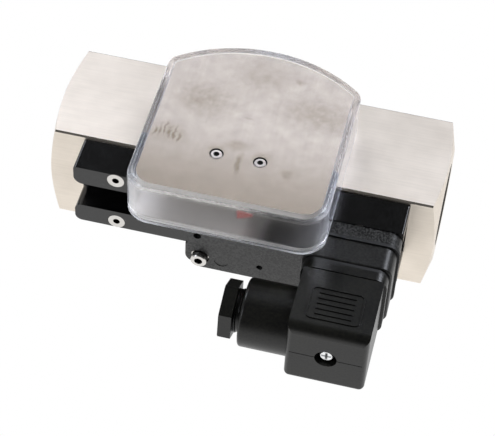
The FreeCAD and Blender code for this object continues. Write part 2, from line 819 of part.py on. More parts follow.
# Sliding contact
def contact_housing():
    platform_left = connector_x - platform_width / 2
    tongue = block(tongue_left, tongue_left + tongue_length, face_back, tongue_back,
                   slot_bottom + slide_fit, slot_top - slide_fit)
    face = block(face_left, face_right, face_front, face_back, jaw_bottom, slot_top)
    bridge = block(face_right, platform_left, face_front + bridge_setback, face_back, jaw_bottom, slot_top)
    jaw = block(contact_left, face_right, clamp_seat_y, face_back + jaw_reach, jaw_bottom, jaw_top)
    jaw = round_corner(jaw, contact_left, jaw_bottom, jaw_round)
    face = round_corner(face, face_left, jaw_bottom, jaw_round)
    relief = block(contact_left, clamp_screw_x, face_front, clamp_seat_y,
                   jaw_bottom, jaw_bottom + screw_relief_height)
    relief = relief.fuse(rod_y(clamp_washer_radius + washer_gap, face_front, clamp_seat_y,
                               clamp_screw_x, clamp_screw_z))
    stack_bottom = stack_mid_z - stack_height / 2
    back_height = rail_top - platform_step - stack_bottom
    back = rounded_outline(connector_x, stack_bottom + back_height / 2, platform_width, back_height,
                           face_back, stack_corner)
    front = rounded_outline(connector_x, stack_mid_z, platform_width, stack_height,
                            platform_front, stack_corner)
    platform = Part.makeLoft([front, back], True, True)
    housing = tongue.fuse([face.cut(relief), bridge, jaw, platform]).removeSplitter()
    clamp_void = rod_y(m3_cap.shank + screw_fit, clamp_seat_y, clamp_head_y + clamp_screw_length,
                       clamp_screw_x, clamp_screw_z)
    pocket = rod_y(insert_radius, face_back + jaw_reach - insert_length, face_back + jaw_reach,
                   clamp_screw_x, clamp_screw_z)
    adjust = rod_y(adjust_hole_radius, face_front, face_front + hole_depth,
                   adjust_hole_x, rail_mid_z - adjust_hole_drop)
    vent = rod_y(vent_hole_radius, face_front, face_front + hole_depth,
                 vent_hole_x, jaw_bottom + vent_hole_rise)
    mark = rod_y(mark_radius, face_front, face_front + mark_depth, mark_x, jaw_bottom + mark_rise)
    reed_end = tongue_left + reed_offset + reed_length + reed_lead_length
    reed_room = rod_x(reed_radius + reed_fit, tongue_left, reed_end, reed_y, rail_mid_z)
    return housing.cut([clamp_void, pocket, adjust, vent, mark, reed_room])


def clamp_screw():
    seat = vec(clamp_screw_x, clamp_head_y, clamp_screw_z)
    return placed(cap_screw(m3_cap, clamp_screw_length - rest_gap), seat, vec(0, -1, 0))


def clamp_washer():
    washer = rod_y(clamp_washer_radius, clamp_head_y, clamp_seat_y, clamp_screw_x, clamp_screw_z)
    hole = rod_y(m3_cap.shank + screw_fit, clamp_head_y, clamp_seat_y, clamp_screw_x, clamp_screw_z)
    return washer.cut(hole)


def clamp_insert():
    y1 = face_back + jaw_reach
    bush = rod_y(insert_radius - press_fit, y1 - insert_length, y1, clamp_screw_x, clamp_screw_z)
    return bush.cut(rod_y(m3_cap.shank + screw_fit, y1 - insert_length, y1, clamp_screw_x, clamp_screw_z))


def reed_switch():
    """Glass capsule with sealed ends and a wire lead at each end."""
    x0 = tongue_left + reed_offset
    x1 = x0 + reed_length
    left = x0 - reed_lead_length
    right = x1 + reed_lead_length
    return turned_x([(left, 0), (left, reed_lead_radius), (x0, reed_lead_radius),
                     (x0 + reed_radius, reed_radius), (x1 - reed_radius, reed_radius),
                     (x1, reed_lead_radius), (right, reed_lead_radius), (right, 0)], reed_y, rail_mid_z)


# Connector
def base_pad():
    pad = slab_y(connector_x, stack_mid_z, platform_width + 2 * pad_proud, stack_height + 2 * pad_proud,
                 pad_front, platform_front, stack_corner + pad_proud)
    return pad.cut(slab_y(connector_x, terminal_z, terminal_width, terminal_height,
                          pad_front, platform_front, terminal_corner))


def connector_socket():
    shell = slab_y(connector_x, stack_mid_z, socket_width, socket_height,
                   socket_front, pad_front, stack_corner)
    shell = shell.makeFillet(least_corner, edges_at(shell, 1, socket_front))
    well = terminal_room(socket_front, socket_front + socket_recess)
    screw_end = plug_screw_seat + plug_screw_length
    hole = rod_y(m3_pan.shank + screw_fit, socket_front, screw_end, connector_x, terminal_z)
    return shell.cut([well, hole] + contact_pin_blades(pin_fit))


def terminal_room(y0, y1):
    """Space round the terminal block, with a gap on all four sides."""
    return slab_y(connector_x, terminal_z, terminal_width + 2 * terminal_gap,
                  terminal_height + 2 * terminal_gap, y0, y1, terminal_corner + terminal_gap)


def contact_pin_blades(grow):
    """Flat blades round the centre screw; the lowest is the earth blade."""
    y0 = socket_front + socket_recess - pin_reach
    y1 = socket_front + socket_recess + pin_root
    wide = pin_width / 2 + grow
    thin = pin_thickness / 2 + grow
    places = [(-pin_circle, 0, thin, wide), (pin_circle, 0, thin, wide), (0, pin_circle, wide, thin),
              (0, -pin_circle, wide, thin)]
    return [block(connector_x + dx - half_x, connector_x + dx + half_x, y0 - grow, y1,
                  terminal_z + dz - half_z, terminal_z + dz + half_z) for dx, dz, half_x, half_z in places]


def plug_seal():
    seal = slab_y(connector_x, stack_mid_z, rim_width - 2 * seal_pad_inset, rim_height - 2 * seal_pad_inset,
                  seal_pad_front, socket_front, stack_corner - seal_pad_inset)
    return seal.cut(terminal_room(seal_pad_front, socket_front))


def plug_cap():
    """Hood of the plug: rounded corners and lower edges, and a large round along its top front edge."""
    back = rim_front - neck_length
    cap = block(cap_left, cap_right, cap_front, back, cap_bottom, cap_top)
    rounded = [edge for edge in edges_at(cap, 1, cap_front) if edge.BoundBox.ZMin < cap_top - touch]
    rounded += [edge for edge in edges_at(cap, 2, cap_bottom) if edge.BoundBox.XLength < touch]
    cap = cap.makeFillet(cap_corner, rounded)
    axis_y = cap_front + cap_top_round
    axis_z = cap_top - cap_top_round
    corner = block(cap_left, cap_right, cap_front, axis_y, axis_z, cap_top)
    return cap.cut(corner.cut(rod_x(cap_top_round, cap_left, cap_right, axis_y, axis_z)))


def grip_frame():
    """Low frame with grip ribs across it, on the flat of the plug's top."""
    front = cap_front + frame_setback
    mid_y = front + frame_depth / 2
    frame = block(connector_x - frame_width / 2, connector_x + frame_width / 2, front, front + frame_depth,
                  cap_top, cap_top + frame_height)
    frame = frame.makeFillet(frame_corner, edges_along(frame, vec(0, 0, 1)))
    inside = block(connector_x - frame_width / 2 + frame_line, connector_x + frame_width / 2 - frame_line,
                   front + frame_line, front + frame_depth - frame_line, cap_top, cap_top + frame_height)
    inside = inside.makeFillet(frame_corner - frame_line, edges_along(inside, vec(0, 0, 1)))
    ribs = []
    for index in range(grip_rib_count):
        y = mid_y + (index - (grip_rib_count - 1) / 2) * grip_rib_pitch
        ribs.append(block(connector_x - grip_rib_length / 2, connector_x + grip_rib_length / 2,
                          y - frame_line / 2, y + frame_line / 2, cap_top, cap_top + frame_height))
    return Part.makeCompound([frame.cut(inside)] + ribs)


def plug_housing():
    rim = slab_y(connector_x, stack_mid_z, rim_width, rim_height, rim_front, seal_pad_front, stack_corner)
    cap_height = cap_up + cap_down
    neck = slab_y(connector_x, terminal_z, cap_width - 2 * neck_step, cap_height - 2 * neck_step,
                  rim_front - neck_length, rim_front, cap_corner)
    cap = plug_cap()
    boss_end = cap_left + cap_wall
    boss = rod_x(boss_radius, boss_left, boss_end, boss_y, connector_z)
    boss = boss.makeFillet(boss_round, edges_at(boss, 0, boss_left))
    body = rim.fuse([neck, cap, boss, *grip_frame().Solids]).removeSplitter()
    room = slab_y(connector_x, terminal_z, cap_width - 2 * cap_wall, cap_height - 2 * cap_wall,
                  cap_front + cap_wall, seal_pad_front, max(cap_corner - cap_wall, least_corner))
    post_end = plug_screw_seat + cap_wall
    post = rod_y(plug_screw_boss, cap_front + cap_wall, post_end, connector_x, terminal_z)
    body = body.cut(room.cut(post))
    body = body.cut(rod_y(plug_screw_hole, cap_front, plug_screw_seat, connector_x, terminal_z))
    body = body.cut(rod_y(m3_pan.shank + screw_fit, plug_screw_seat, post_end, connector_x, terminal_z))
    body = body.cut(rod_x(gland_thread_radius + gland_fit, boss_left, gland_seat, boss_y, connector_z))
    seam = block(cap_left, cap_right, cap_front, cap_front + parting_depth,
                 terminal_z - parting_width / 2, terminal_z + parting_width / 2)
    body = body.cut(seam)
    return body.cut(rod_x(gland_bore_radius, gland_seat, boss_end, boss_y, connector_z))


def plug_terminal():
    """Terminal block inside the plug, with a pocket for each blade and a screw hole over it."""
    y1 = socket_front + socket_recess
    y0 = y1 - terminal_depth
    body = slab_y(connector_x, terminal_z, terminal_width, terminal_height, y0, y1, terminal_corner)
    pockets = contact_pin_blades(pin_fit)
    heads = [rod_y(terminal_screw_radius + screw_fit, y0, y0 + terminal_screw_length, x, z)
             for x, z in terminal_screw_places()]
    centre = rod_y(m3_pan.shank + screw_fit, y0, y1, connector_x, terminal_z)
    return body.cut(pockets + heads + [centre])


def terminal_screw_places():
    spread = terminal_height / 2 - 2 * terminal_screw_radius
    return [(connector_x + side * spread, terminal_z + level * spread)
            for side in (-1, 1) for level in (-1, 1)]


def terminal_screw(x, z):
    y0 = socket_front + socket_recess - terminal_depth
    screw = rod_y(terminal_screw_radius, y0, y0 + terminal_screw_length, x, z)
    slot = block(x - terminal_screw_radius, x + terminal_screw_radius, y0, y0 + terminal_slot_depth,
                 z - terminal_slot_width / 2, z + terminal_slot_width / 2)
    return screw.cut(slot)


def plug_screw():
    seat = vec(connector_x, plug_screw_seat, terminal_z)
    return placed(pan_screw(m3_pan, plug_screw_length - rest_gap), seat, vec(0, -1, 0))


# Cable gland
def gland_nut():
    """Hexagon pressure screw: chamfered head, turned as it was left when tightened, and threaded spigot."""
    place = vec(nut_left, boss_y, connector_z)
    head = placed(hexagon(gland_nut_width, gland_nut_length), place, vec(1, 0, 0))
    head.rotate(place, vec(1, 0, 0), gland_nut_turn)
    corner = gland_nut_width / 2 / math.cos(math.pi / 6)
    cone = turned_x([(nut_left, 0), (nut_left, corner - gland_chamfer), (nut_left + gland_chamfer, corner),
                     (nut_right, corner), (nut_right, 0)], boss_y, connector_z)
    nut = head.common(cone).fuse(rod_x(gland_thread_radius, nut_right, thread_end, boss_y, connector_z))
    return nut.cut(rod_x(gland_bore_radius, nut_left, thread_end, boss_y, connector_z))


def gland_ring(x0, x1):
    ring = rod_x(gland_thread_radius - gland_fit, x0, x1, boss_y, connector_z)
    return ring.cut(rod_x(gland_bore_radius, x0, x1, boss_y, connector_z))


nodes = {
    "meter_body": meter_body(),
    "measuring_sleeve": measuring_sleeve(),
    "sleeve_seal": sleeve_seal(),
    "inlet_guide": flow_guide(-ring_inner_x),
    "outlet_guide": flow_guide(sleeve_half),
    "retaining_rings": Part.makeCompound([retaining_ring(-ring_outer_x), retaining_ring(ring_inner_x)]),
    "guide_rod": guide_rod(),
    "float_piston": float_piston(),
    "float_magnet": float_magnet(),
    "float_clip": float_clip(),
    "return_spring": return_spring(),
    "display_base": display_base(),
    "base_screws": Part.makeCompound([base_screw(x, y) for x, y in base_screw_places()]),
    "cover_seal": cover_seal(),
    "display_cover": display_cover(),
    "dial_plate": dial_plate(),
    "plate_pillars": Part.makeCompound([plate_pillar(x, y) for x, y in pillar_places()]),
    "plate_screws": Part.makeCompound([plate_screw(x, y) for x, y in pillar_places()]),
    "axle_bearings": axle_bearings(),
    "pointer_axle": pointer_axle(),
    "pointer_hub": pointer_hub(),
    "pointer_lever": pointer_lever(),
    "follower_magnet": follower_magnet(),
    "pointer_tip": pointer_tip(),
    "pointer_weight": pointer_weight(),
    "contact_rail": contact_rail(),
    "rail_screws": Part.makeCompound([rail_screw(x, z) for x, z in rail_screw_places()]),
    "contact_housing": contact_housing(),
    "clamp_screw": clamp_screw(),
    "clamp_washer": clamp_washer(),
    "clamp_insert": clamp_insert(),
    "reed_switch": reed_switch(),
    "base_pad": base_pad(),
    "connector_socket": connector_socket(),
    "contact_pins": Part.makeCompound(contact_pin_blades(0)),
    "plug_seal": plug_seal(),
    "plug_housing": plug_housing(),
    "plug_terminal": plug_terminal(),
    "terminal_screws": Part.makeCompound([terminal_screw(x, z) for x, z in terminal_screw_places()]),
    "plug_screw": plug_screw(),
    "gland_nut": gland_nut(),
    "gland_washer": gland_ring(thread_end, washer_end),
    "gland_seal": gland_ring(washer_end, gland_seat),
}

os.makedirs("parts", exist_ok=True)
for name, shape in nodes.items():
    shape.exportStep(f"parts/{name}.step")
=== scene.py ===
import json
import math
import bmesh
import bpy
from mathutils import Matrix, Vector


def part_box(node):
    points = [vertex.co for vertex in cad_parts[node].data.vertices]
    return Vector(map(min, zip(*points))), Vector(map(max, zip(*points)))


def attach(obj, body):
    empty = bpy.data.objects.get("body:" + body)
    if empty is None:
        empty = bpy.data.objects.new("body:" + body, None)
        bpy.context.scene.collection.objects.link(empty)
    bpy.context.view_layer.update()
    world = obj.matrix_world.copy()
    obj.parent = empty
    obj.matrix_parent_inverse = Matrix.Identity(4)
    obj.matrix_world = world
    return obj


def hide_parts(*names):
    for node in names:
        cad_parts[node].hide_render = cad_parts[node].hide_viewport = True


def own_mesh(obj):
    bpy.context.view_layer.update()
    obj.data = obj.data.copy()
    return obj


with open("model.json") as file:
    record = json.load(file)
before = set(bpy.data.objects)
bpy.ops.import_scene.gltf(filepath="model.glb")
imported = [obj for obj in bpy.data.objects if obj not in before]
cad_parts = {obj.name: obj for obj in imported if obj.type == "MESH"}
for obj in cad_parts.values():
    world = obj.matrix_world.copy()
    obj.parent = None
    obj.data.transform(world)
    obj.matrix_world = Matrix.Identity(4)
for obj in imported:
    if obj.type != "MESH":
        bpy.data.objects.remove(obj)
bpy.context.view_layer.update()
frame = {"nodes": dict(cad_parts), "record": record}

# Body: a length of square bar, faced and coned at both ends on a lathe, then bored through and tapped for
# pipe at each end. It is plated to a pale satin silver. The ports and the bore are painted dark, a painted
# shade in their hollows. Its long edges are broken last and stay bright.
EDGE_BREAK = 0.0005
EDGE_START = 1.3 * EDGE_BREAK
EDGE_FULL = 1.1 * EDGE_BREAK
PORT_SHADE_REACH = 0.01425
BAR_LINES = (60, 1500, 1500)
LINE_SHARE = 0.4
MARK_DEPTH = 0.00002
BAR_SILVER = (0.985, 0.905, 0.805)
BAR_SHADE = (0.86, 0.785, 0.69)
PORT_PAINTED_SHADE = (0.11, 0.10, 0.09)
EDGE_ROUGH = 0.12


def node_in(tree, kind, inputs, **settings):
    """A new shader node. Each input, by name or number, takes a value or another node's output."""
    node = tree.nodes.new("ShaderNode" + kind)
    for label, value in settings.items():
        setattr(node, label, value)
    for socket, value in inputs.items():
        if isinstance(value, bpy.types.NodeSocket):
            tree.links.new(value, node.inputs[socket])
        else:
            node.inputs[socket].default_value = value
    return node


def sums(tree, operation, *terms, clamp=False):
    """The result of a sum on numbers."""
    node = node_in(tree, "Math", dict(enumerate(terms)), operation=operation, use_clamp=clamp)
    return node.outputs["Value"]


def vectors(tree, operation, *terms):
    """The result of a sum on vectors, which is a number for a length."""
    node = node_in(tree, "VectorMath", dict(enumerate(terms)), operation=operation)
    return node.outputs["Value" if operation == "LENGTH" else "Vector"]


def split(tree, vector):
    """The X, Y and Z of a vector."""
    return node_in(tree, "SeparateXYZ", {"Vector": vector}).outputs


def place_on(tree):
    """Where a point of the surface is, in metres."""
    return node_in(tree, "TexCoord", {}).outputs["Object"]


def noise(tree, place, scale, detail, roughness=0.5):
    """A cloudy noise over a place."""
    sizes = {"Scale": scale, "Detail": detail, "Roughness": roughness}
    return node_in(tree, "TexNoise", {"Vector": place, **sizes})


def graded(tree, value, start, end, low, high, kind="LINEAR"):
    """A number that runs from low to high while the value runs from start to end."""
    limits = {"From Min": start, "From Max": end, "To Min": low, "To Max": high}
    return node_in(tree, "MapRange", {"Value": value, **limits}, interpolation_type=kind).outputs["Result"]


def two_tone(tree, mask, low, high, spread=0.34):
    """A colour that runs from low to high as the mask crosses a spread round one half."""
    ramp = tree.nodes.new("ShaderNodeValToRGB")
    ends = (0.5 - spread / 2, 0.5 + spread / 2)
    for element, position, colour in zip(ramp.color_ramp.elements, ends, (low, high)):
        element.position = position
        element.color = (*colour, 1)
    tree.links.new(mask, ramp.inputs["Fac"])
    return ramp.outputs["Color"]


def opaque(colour):
    """A colour with its alpha, or a node's output as it is."""
    return colour if isinstance(colour, bpy.types.NodeSocket) else (*colour, 1)


def blend(tree, share, first, second):
    """A colour that goes from the first to the second with the share."""
    inputs = {0: share, 6: opaque(first), 7: opaque(second)}
    return node_in(tree, "Mix", inputs, data_type="RGBA").outputs[2]


def feed_of(shader, label):
    """The output that feeds a shader's socket now."""
    return shader.inputs[label].links[0].from_socket


def overlay(tree, mask, colour):
    """Lay another colour over a finish where the mask is 1."""
    shader = tree.nodes["Principled BSDF"]
    tree.links.new(blend(tree, mask, feed_of(shader, "Base Color"), colour), shader.inputs["Base Color"])


def effect(name, inputs, outputs):
    """An empty shader effect with named sockets: (socket type, name, default) in, names of numbers out."""
    tree = bpy.data.node_groups.new(name, "ShaderNodeTree")
    for kind, label, default in inputs:
        socket = tree.interface.new_socket(label, in_out="INPUT", socket_type=kind)
        socket.default_value = default
    for label in outputs:
        tree.interface.new_socket(label, in_out="OUTPUT", socket_type="NodeSocketFloat")
    return tree, tree.nodes.new("NodeGroupInput").outputs, tree.nodes.new("NodeGroupOutput").inputs


def finish_of(name, roughness=0.5, metallic=0.0):
    """A new material with its tree and its shader."""
    material = bpy.data.materials.new(name)
    material.use_nodes = True
    shader = material.node_tree.nodes["Principled BSDF"]
    shader.inputs["Roughness"].default_value = roughness
    shader.inputs["Metallic"].default_value = metallic
    return material, material.node_tree, shader


def dress(material, *names):
    """Give CAD nodes a finish."""
    for name in names:
        mesh = frame["nodes"][name].data
        mesh.materials.clear()
        mesh.materials.append(material)


# Draw marks are fine lines along one direction, with a slower cloudy change of tone.
draw_marks, marks_in, marks_out = effect(
    "draw_marks",
    [("NodeSocketVector", "Stretch", (40, 900, 900)), ("NodeSocketFloat", "Cloud Scale", 60.0)],
    ["Lines", "Tone"])
place = place_on(draw_marks)
stretched = vectors(draw_marks, "MULTIPLY", place, marks_in["Stretch"])
lines = noise(draw_marks, stretched, scale=1.0, detail=4.0, roughness=0.6).outputs["Fac"]
cloud = noise(draw_marks, place, scale=marks_in["Cloud Scale"], detail=3.0).outputs["Fac"]
tone = node_in(draw_marks, "Mix", {0: LINE_SHARE, 2: cloud, 3: lines}).outputs[0]
draw_marks.links.new(lines, marks_out["Lines"])
draw_marks.links.new(tone, marks_out["Tone"])


def drawn_metal(name, light, shade, lines, rough, bump, cloud=60.0, metallic=1.0):
    """Metal with draw marks in its tone, gloss and relief."""
    material, tree, shader = finish_of(name, metallic=metallic)
    marks = node_in(tree, "Group", {"Stretch": lines, "Cloud Scale": cloud}, node_tree=draw_marks).outputs
    tree.links.new(two_tone(tree, marks["Tone"], shade, light), shader.inputs["Base Color"])
    tree.links.new(graded(tree, marks["Lines"], 0, 1, *rough), shader.inputs["Roughness"])
    relief = node_in(tree, "Bump", {"Height": marks["Lines"], "Strength": bump, "Distance": MARK_DEPTH})
    tree.links.new(relief.outputs["Normal"], shader.inputs["Normal"])
    return material


bar_plating = drawn_metal("bar_plating", BAR_SILVER, BAR_SHADE, BAR_LINES, rough=(0.46, 0.56), bump=0.25,
                          cloud=90.0, metallic=0.97)
tree = bar_plating.node_tree
shader = tree.nodes["Principled BSDF"]
bar_low, bar_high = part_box("meter_body")
bar_width = bar_high.z - bar_low.z
from_axis = vectors(tree, "ABSOLUTE", vectors(tree, "SUBTRACT", place_on(tree), (bar_low + bar_high) / 2))
sides = split(tree, from_axis)
to_edge = sums(tree, "ADD", sides["Y"], sides["Z"])
bright_edge = graded(tree, to_edge, bar_width - EDGE_START, bar_width - EDGE_FULL,
                     feed_of(shader, "Roughness"), EDGE_ROUGH)
tree.links.new(bright_edge, shader.inputs["Roughness"])
# Painted shade: everything within a radius of the bar's axis, the ports and the bore, is darkened.
radius = vectors(tree, "LENGTH", vectors(tree, "MULTIPLY", from_axis, (0, 1, 1)))
overlay(tree, sums(tree, "LESS_THAN", radius, PORT_SHADE_REACH), PORT_PAINTED_SHADE)
dress(bar_plating, "meter_body")

# Port threads: the pipe threads tapped in both ends of the bar, right-handed. Each is one ridge that starts
# behind the mouth's lead and runs out before the bottom of the port.
PIPE_PITCH = 0.001814
PIPE_CREST = 0.01212
PIPE_TURNS = 7.5
PORT_LEAD = 0.0014
SUNK = 0.00005
RIDGE_STEPS = 40
RIDGE_FOOT = 0.44
RIDGE_FLAT = 0.1
RUN_OUT_TURN = 0.5
RUN_OUT_LEFT = 0.05


def tube_faces(rings, sides):
    """The faces between rings of points, then one face to close each end."""
    faces = []
    for ring in range(rings - 1):
        for side in range(sides):
            here = ring * sides + side
            beside = ring * sides + (side + 1) % sides
            faces.append((here, beside, beside + sides, here + sides))
    return faces + [tuple(range(sides)), tuple(range((rings - 1) * sides, rings * sides))]


def closed_piece(name, points, faces, material, smooth=False):
    """A closed mesh with its faces turned outwards."""
    mesh = bpy.data.meshes.new(name)
    mesh.from_pydata(points, [], faces)
    solid = bmesh.new()
    solid.from_mesh(mesh)
    bmesh.ops.recalc_face_normals(solid, faces=solid.faces)
    for face in solid.faces:
        face.smooth = smooth
    solid.to_mesh(mesh)
    solid.free()
    mesh.materials.append(material)
    piece = bpy.data.objects.new(name, mesh)
    bpy.context.scene.collection.objects.link(piece)
    return piece


def thread_ridge(name, start, axis, root, crest, pitch, turns, material):
    """A helical ridge along X with a flat crest, run out to nothing at both ends."""
    count = int(turns * RIDGE_STEPS)
    points = []
    for step in range(count + 1):
        turn = step / RIDGE_STEPS
        angle = 2 * math.pi * turn
        run_out = min(1.0, turn / RUN_OUT_TURN, (count - step) / RIDGE_STEPS / RUN_OUT_TURN)
        top = root + (crest - root) * max(run_out, RUN_OUT_LEFT)
        profile = ((-RIDGE_FOOT, root), (-RIDGE_FLAT, top), (RIDGE_FLAT, top), (RIDGE_FOOT, root))
        for share, radius in profile:
            points.append((start + pitch * (turn + share), axis.y + radius * math.cos(angle),
                           axis.z + radius * math.sin(angle)))
    return closed_piece(name, points, tube_faces(count + 1, len(profile)), material)


mounts = {mount["name"]: mount for mount in frame["record"]["mounts"]}
for port in ("inlet_port", "outlet_port"):
    mouth = Vector(mounts[port]["pos_m"])
    root = mounts[port]["dims"]["r_mm"] / 1000 + SUNK
    start = mouth.x + PORT_LEAD if mouth.x < 0 else mouth.x - PORT_LEAD - PIPE_PITCH * PIPE_TURNS
    thread = thread_ridge(port.replace("port", "thread"), start, mouth, root, PIPE_CREST, PIPE_PITCH,
                          PIPE_TURNS, bar_plating)
    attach(thread, "housing")

# Flow insert: a sleeve between two stars that centre the rod, held in the bore by snap rings. All of it is
# stainless steel left as turned, apart from the rubber ring round the sleeve.
LATHE_LINES = (2500, 80, 80)
INSERT_STEEL = (0.62, 0.61, 0.60)
INSERT_SHADE = (0.50, 0.49, 0.48)
turned_steel = drawn_metal("turned_steel", INSERT_STEEL, INSERT_SHADE, LATHE_LINES, rough=(0.28, 0.42),
                           bump=0.3)
dress(turned_steel, "measuring_sleeve", "inlet_guide", "outlet_guide", "guide_rod", "retaining_rings")

# Float: a light piston turned from aluminium, with a ring magnet of ferrite let into its back, where a
# pressed ring holds it. The pointer's small magnet is of the same ferrite.
EVEN_GRAIN = (900, 900, 900)
FLOAT_ALLOY = (0.72, 0.72, 0.73)
FLOAT_SHADE = (0.62, 0.62, 0.63)
FERRITE = (0.10, 0.10, 0.105)
FERRITE_SHADE = (0.06, 0.06, 0.065)
float_alloy = drawn_metal("float_alloy", FLOAT_ALLOY, FLOAT_SHADE, LATHE_LINES, rough=(0.30, 0.42), bump=0.3)
dress(float_alloy, "float_piston", "float_clip")
magnet_ferrite = drawn_metal("magnet_ferrite", FERRITE, FERRITE_SHADE, EVEN_GRAIN, rough=(0.5, 0.7),
                             bump=0.2, metallic=0.4)
dress(magnet_ferrite, "float_magnet", "follower_magnet")

# Return spring: hard drawn wire of spring steel wound on a mandrel, with both end turns closed. It stands
# round the rod between the float and the outlet star, and the float presses it together.
SPRING_WIRE = 0.0008
SPRING_TURNS = 7
CLOSED_TURNS = 1
COIL_STEPS = 32
WIRE_SIDES = 10
SPRING_STEEL = (0.55, 0.55, 0.55)
SPRING_SHADE = (0.45, 0.45, 0.45)
spring_low, spring_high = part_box("return_spring")
spring_length = spring_high.x - spring_low.x
spring_axis = (spring_low + spring_high) / 2
coil_radius = (spring_high.z - spring_low.z - SPRING_WIRE) / 2
open_length = spring_length - SPRING_WIRE - 2 * CLOSED_TURNS * SPRING_WIRE
open_pitch = open_length / (SPRING_TURNS - 2 * CLOSED_TURNS)
points = []
along = spring_low.x + SPRING_WIRE / 2
for step in range(SPRING_TURNS * COIL_STEPS + 1):
    turn = step / COIL_STEPS
    outward = Vector((0, math.cos(2 * math.pi * turn), math.sin(2 * math.pi * turn)))
    centre = Vector((along, spring_axis.y, spring_axis.z)) + coil_radius * outward
    for side in range(WIRE_SIDES):
        angle = 2 * math.pi * side / WIRE_SIDES
        points.append(centre + SPRING_WIRE / 2 * (
            math.cos(angle) * outward + math.sin(angle) * Vector((1, 0, 0))))
    closed = turn < CLOSED_TURNS or turn >= SPRING_TURNS - CLOSED_TURNS
    along += (SPRING_WIRE if closed else open_pitch) / COIL_STEPS
spring_wire = drawn_metal("spring_wire", SPRING_STEEL, SPRING_SHADE, EVEN_GRAIN, rough=(0.25, 0.35),
                          bump=0.1)
coil = closed_piece("return_coil", points, tube_faces(SPRING_TURNS * COIL_STEPS + 1, WIRE_SIDES),
                    spring_wire, smooth=True)
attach(coil, "housing")
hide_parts("return_spring")
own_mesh(coil)

# Display base: a stamped plate of grey alloy that closes the display below, screwed to the top of the bar.
# Its right end is painted dark, as a ground for the red flag.
DARKEN_START = 0.007
DARKEN_FULL = 0.017
SHEET_LINES = (60, 900, 900)
BASE_GREY = (0.80, 0.79, 0.78)
BASE_SHADE = (0.66, 0.65, 0.64)
RIGHT_END_DARK = (0.11, 0.11, 0.112)
base_alloy = drawn_metal("base_alloy", BASE_GREY, BASE_SHADE, SHEET_LINES, rough=(0.6, 0.75), bump=0.2,
                         metallic=0.6)
tree = base_alloy.node_tree
across = split(tree, place_on(tree))["X"]
# Darker towards the right end.
overlay(tree, graded(tree, across, DARKEN_START, DARKEN_FULL, 0, 1, "SMOOTHSTEP"), RIGHT_END_DARK)
dress(base_alloy, "display_base")

# Screws, washers, axle and contact pins: stainless steel, cold headed or turned, left bright. The hexagon
# sockets are painted dark, a painted shade, and so are the sides of the sunk screws. The plug's own screw is
# zinc plated, and the two in the dial plate are worn.
PLATE_HEAD = 0.0019
PLATE_SOCKET = 0.00098
RAIL_HEAD = 0.0029
RAIL_SOCKET = 0.00118
CLAMP_HEAD = 0.00275
CLAMP_SOCKET = 0.0014
UPRIGHT = (1, 1, 0)
TO_FRONT = (1, 0, 1)
SCREW_STEEL = (0.80, 0.78, 0.75)
SCREW_SHADE = (0.68, 0.66, 0.63)
ZINC_LIGHT = (0.97, 0.975, 0.98)
ZINC_SHADE = (0.88, 0.885, 0.89)
WORN_STEEL = (0.94, 0.88, 0.83)
WORN_SHADE = (0.68, 0.63, 0.585)
SOCKET_PAINTED_SHADE = (0.012, 0.011, 0.010)
bright_steel = drawn_metal("bright_steel", SCREW_STEEL, SCREW_SHADE, EVEN_GRAIN, rough=(0.18, 0.3),
                           bump=0.15)
dress(bright_steel, "base_screws", "clamp_washer", "terminal_screws", "pointer_axle", "gland_washer",
      "contact_pins")
zinc_plating = drawn_metal("zinc_plating", ZINC_LIGHT, ZINC_SHADE, EVEN_GRAIN, rough=(0.15, 0.25), bump=0.15)
dress(zinc_plating, "plug_screw")

# The mask is 1 within a radius of the nearest screw axis. The screws stand at plus and minus a spread from
# a middle, and the directions across their axes are marked by 1.
driver_socket, socket_in, socket_out = effect(
    "driver_socket",
    [("NodeSocketVector", "Middle", (0, 0, 0)), ("NodeSocketVector", "Spread", (0, 0, 0)),
     ("NodeSocketVector", "Across", UPRIGHT), ("NodeSocketFloat", "Radius", 0.001)],
    ["Socket"])
away = place_on(driver_socket)
for label in ("Middle", "Spread"):
    away = vectors(driver_socket, "ABSOLUTE", vectors(driver_socket, "SUBTRACT", away, socket_in[label]))
away = vectors(driver_socket, "LENGTH", vectors(driver_socket, "MULTIPLY", away, socket_in["Across"]))
driver_socket.links.new(sums(driver_socket, "LESS_THAN", away, socket_in["Radius"]), socket_out["Socket"])


def near_screws(tree, node, head, across, radius):
    """A mask of what lies within a radius of the axes of a node's screws."""
    low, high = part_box(node)
    spread = [max(half - head, 0) for half in (high - low) / 2]
    sizes = {"Middle": (low + high) / 2, "Spread": spread, "Across": across, "Radius": radius}
    return node_in(tree, "Group", sizes, node_tree=driver_socket).outputs["Socket"]


def facing_of(tree):
    """The direction that the surface faces."""
    return node_in(tree, "NewGeometry", {}).outputs["Normal"]


def socket_screws(node, head, socket, across, rough, light=SCREW_STEEL, shade=SCREW_SHADE, sunk=False):
    """Bright screws with their sockets painted dark as painted shade. Sunk screws have painted shade on
    their sides too.
    """
    material = drawn_metal(node + "_steel", light, shade, EVEN_GRAIN, rough, bump=0.15)
    tree = material.node_tree
    painted_shade = near_screws(tree, node, head, across, socket)
    if sunk:
        side = vectors(tree, "LENGTH", vectors(tree, "MULTIPLY", facing_of(tree), across))
        painted_shade = sums(tree, "MAXIMUM", painted_shade, side, clamp=True)
    # Painted shade in the sockets, and on the sides of sunk screws.
    overlay(tree, painted_shade, SOCKET_PAINTED_SHADE)
    dress(material, node)


socket_screws("plate_screws", PLATE_HEAD, PLATE_SOCKET, UPRIGHT, rough=(0.36, 0.46), light=WORN_STEEL,
              shade=WORN_SHADE)
socket_screws("rail_screws", RAIL_HEAD, RAIL_SOCKET, TO_FRONT, rough=(0.25, 0.35), sunk=True)
socket_screws("clamp_screw", CLAMP_HEAD, CLAMP_SOCKET, TO_FRONT, rough=(0.20, 0.30))

